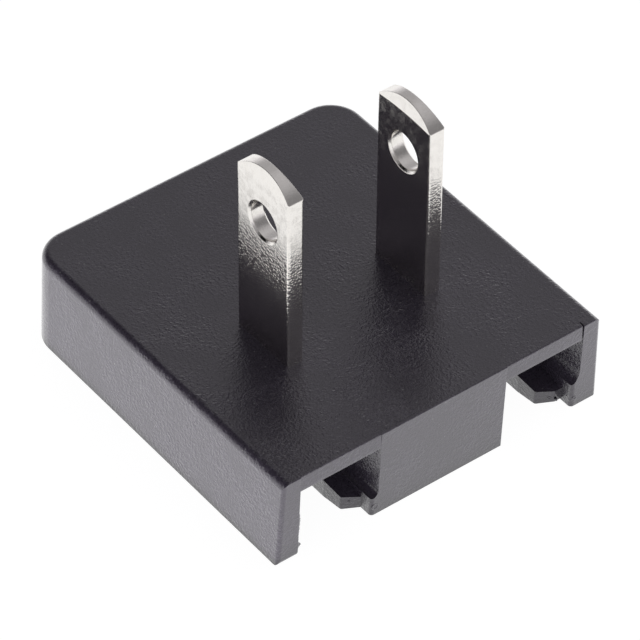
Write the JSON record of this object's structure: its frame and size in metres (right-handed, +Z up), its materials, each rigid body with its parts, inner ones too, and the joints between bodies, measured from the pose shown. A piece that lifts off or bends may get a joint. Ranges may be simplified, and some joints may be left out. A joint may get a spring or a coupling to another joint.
{
  "type": "interchangeable plug clip",
  "caption": "Slide-on plug head for a power supply: a moulded tray with lipped channels below and flat nickel-plated blades standing up from its plate.",
  "frame": {"origin": "centre of the body's bounding box, at the height of the rim that it rests on", "axes": "+Z up along the blades, +Y from the open face to the closed back, +X to the right seen from the open face with the blades up"},
  "size_m": [0.0298, 0.0322, 0.0252],
  "materials": {
    "black_plastic": "spark-eroded matt black, lightly grained",
    "nickel_plate": "bright nickel plate on brass, faintly brushed"
  },
  "bodies": {
    "root": {"clip_body": "black_plastic", "left_blade": "nickel_plate", "right_blade": "nickel_plate"}
  },
  "joints": []
}
